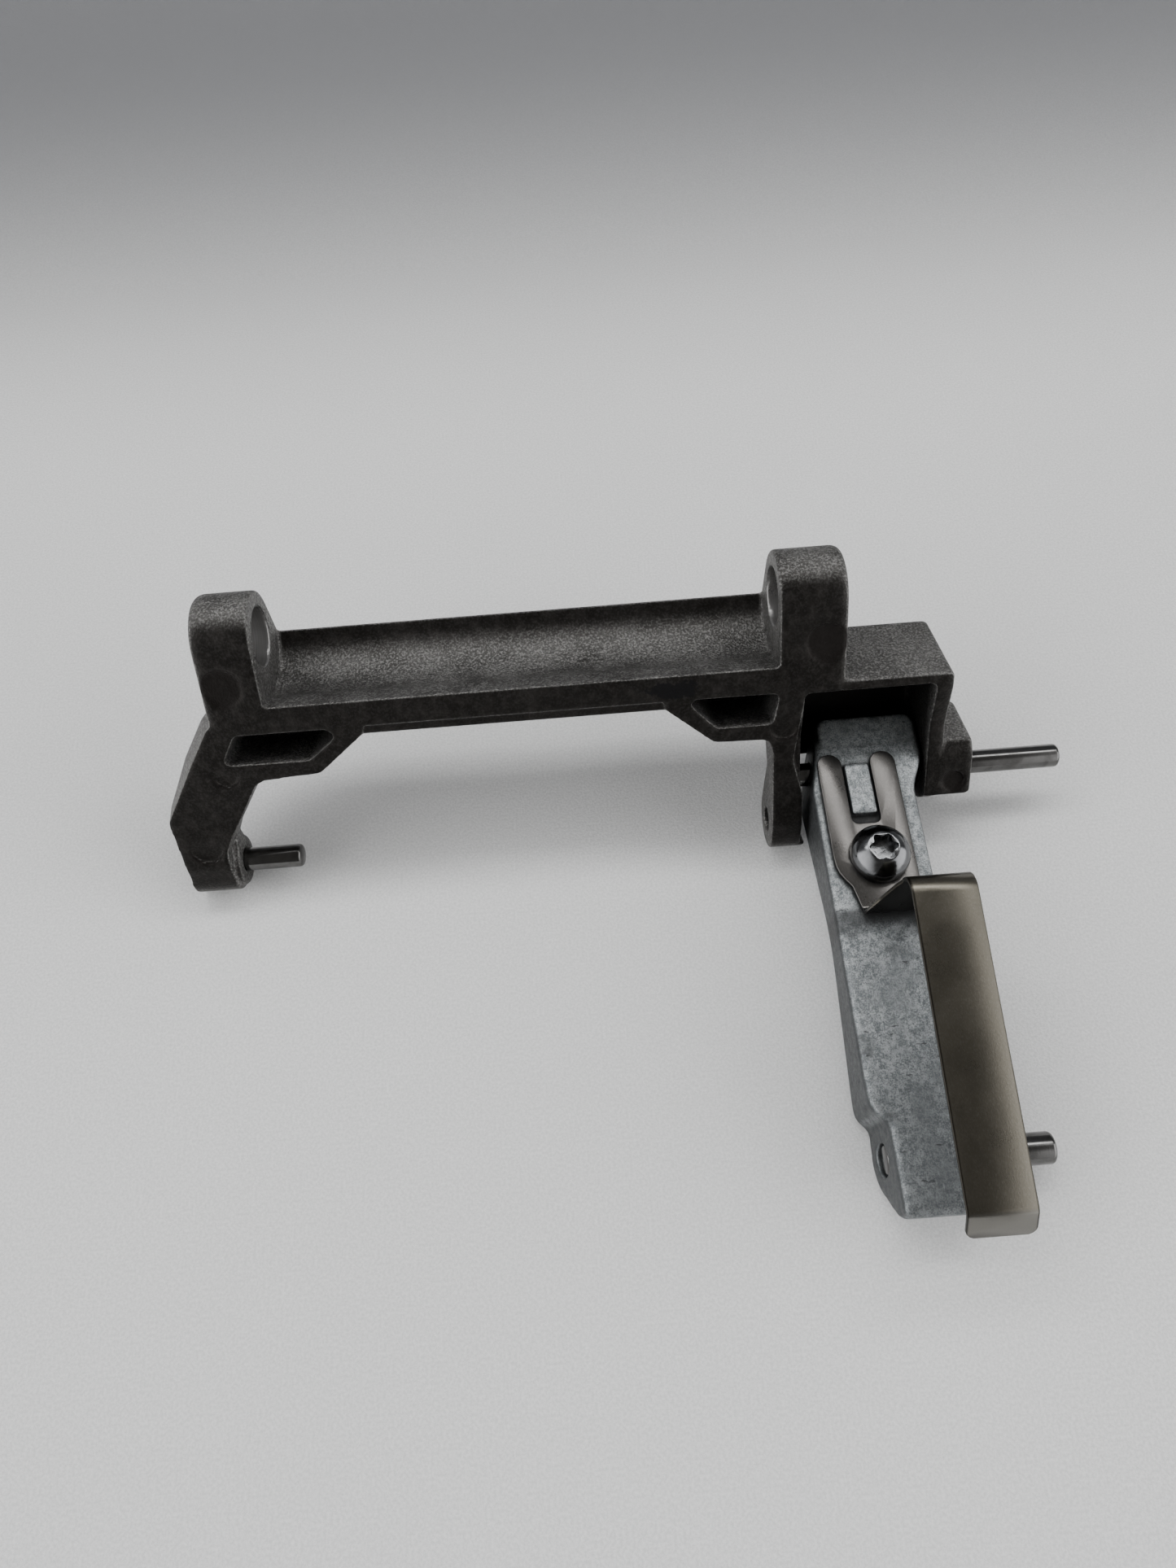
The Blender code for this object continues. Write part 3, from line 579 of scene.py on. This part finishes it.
def ground_steel():
    """Ground dowel steel: dark and glossy under an oily film, with fine grinding rings round the pin."""
    surface, tree, shader = new_surface("pin_steel_look", 1.0)
    here = object_point(tree)
    rings = noise(tree, stretched(tree, here, (1.0, 0.05, 0.05)), 0.07 * MM, 2.0)
    film = noise(tree, here, 1.8 * MM, 4.0, 0.6, 0.5)
    colour = blend_colour(tree, ramp(tree, film, 0.40, 0.70), PIN_CLEAN, PIN_OILED)
    rough = plus(tree, ramp(tree, film, 0.35, 0.7, 0.09, 0.18), times(tree, rings, 0.06))
    finish_surface(tree, shader, colour, rough, rings, 0.004 * MM)
    return surface


def table_surface():
    """Pale matt backdrop with a faint fibre texture, with painted shade where it goes up behind."""
    surface, tree, shader = new_surface("table_look", 0.0, 0.3)
    here = object_point(tree)
    fibre = ramp(tree, noise(tree, here, 0.36 * MM, 3.0, 0.7), 0.3, 0.7)
    broad = noise(tree, here, 60.0 * MM, 3.0, 0.5)
    colour = blend_colour(tree, fibre, TABLE_DARK, TABLE_LIGHT)
    colour = tinted(tree, colour, TABLE_CLOUD, broad, 0.22)
    # Painted shade on the wall behind.
    colour = blend_colour(tree, ramp(tree, axis(tree, here, "Y"), 0.10, 0.22), colour, WALL_SHADE)
    finish_surface(tree, shader, colour, 0.75, fibre, 0.06 * MM, 0.6)
    return surface


# ---------------------------------------------------------------- pieces


def build_pieces():
    """Finer stand-ins for all seven CAD nodes."""
    bracket = stand_in("yoke_bracket", "bracket_casting", "bracket", cast_aluminium())
    cast(bracket, 0.24 * MM, passes=5)
    lever = stand_in("lever_arm", "lever_casting", "lever", cast_zinc())
    cast(lever, 0.24 * MM, passes=4)
    spring = stand_in("leaf_spring", "spring_strip", "lever", rolled_steel())
    soften(spring, 0.11 * MM, segments=2, angle=28)
    screw = stand_in("spring_screw", "screw", "lever", plated_steel())
    soften(screw, 0.12 * MM, segments=3, angle=35)
    steel = ground_steel()
    pins = (
        ("left_leg_pin", "leg_dowel", "bracket"),
        ("lever_pivot_pin", "hinge_dowel", "bracket"),
        ("lever_tip_pin", "tip_dowel", "lever"),
    )
    for cad_name, name, body in pins:
        pin = stand_in(cad_name, name, body, steel)
        soften(pin, 0.12 * MM, segments=3, angle=20)


# ---------------------------------------------------------------- stage, light and camera


def build_stage():
    """Table that sweeps up behind the object."""
    profile = [(TABLE_NEAR_Y, 0.0), (SWEEP_START_Y, 0.0)]
    for step in range(1, SWEEP_STEPS + 1):
        angle = math.radians(90 * step / SWEEP_STEPS)
        profile.append((SWEEP_START_Y + SWEEP_R * math.sin(angle), SWEEP_R * (1 - math.cos(angle))))
    profile.append((SWEEP_START_Y + SWEEP_R, WALL_TOP_Z))
    made = bmesh.new()
    left = [made.verts.new((-TABLE_HALF_WIDTH, y, z)) for y, z in profile]
    right = [made.verts.new((TABLE_HALF_WIDTH, y, z)) for y, z in profile]
    for i in range(len(profile) - 1):
        made.faces.new([left[i], right[i], right[i + 1], left[i + 1]])
    mesh = bpy.data.meshes.new("table")
    made.to_mesh(mesh)
    made.free()
    table = bpy.data.objects.new("table", mesh)
    bpy.context.scene.collection.objects.link(table)
    table.data.materials.append(table_surface())
    table.data.shade_smooth()


def build_softbox():
    """One broad lamp above and behind the object."""
    place = Vector((0.0, 0.36, 0.36))
    target = Vector((0.0, 0.03, 0.0))
    lamp = bpy.data.lights.new("back_softbox", "AREA")
    lamp.shape = "RECTANGLE"
    lamp.size = 1.00
    lamp.size_y = 0.50
    lamp.energy = 10.0
    holder = bpy.data.objects.new("back_softbox", lamp)
    bpy.context.scene.collection.objects.link(holder)
    aim = (target - place).to_track_quat("-Z", "Y").to_matrix().to_4x4()
    holder.matrix_world = Matrix.Translation(place) @ aim


def build_room():
    """Soft light from behind and the sides; dark in front and in a cap overhead."""
    world = bpy.data.worlds.new("room")
    bpy.context.scene.world = world
    world.use_nodes = True
    tree = world.node_tree
    way = node(tree, "TexCoord").outputs["Generated"]
    back = ramp(tree, axis(tree, way, "Y"), -0.10, 0.65)
    side = ramp(tree, math_node(tree, "ABSOLUTE", axis(tree, way, "X")), 0.30, 1.0, 0.0, 0.45)
    open_sky = ramp(tree, dot_with(tree, way, (0.20, -0.10, 0.975)), 0.95, 0.80)
    glow = times(tree, larger(tree, back, side), open_sky)
    background = tree.nodes["Background"]
    feed(tree, background.inputs["Color"], blend_colour(tree, glow, ROOM_DARK, ROOM_GLOW))
    background.inputs["Strength"].default_value = 1.0


def build_camera():
    """Camera placed in the bracket's own frame, looking down at its front."""
    data = bpy.data.cameras.new("camera")
    data.sensor_fit = "VERTICAL"
    data.sensor_height = SENSOR_HEIGHT
    data.lens = LENS
    data.clip_start = 0.005
    holder = bpy.data.objects.new("camera", data)
    bpy.context.scene.collection.objects.link(holder)
    pitched = Matrix.Rotation(math.radians(90) - CAMERA_PITCH, 4, "X")
    rolled = Matrix.Rotation(-CAMERA_ROLL, 4, "Z")
    holder.matrix_world = BRACKET @ Matrix.Translation(CAMERA_PLACE) @ pitched @ rolled
    bpy.context.scene.camera = holder


build_pieces()
build_stage()
build_softbox()
build_room()
build_camera()
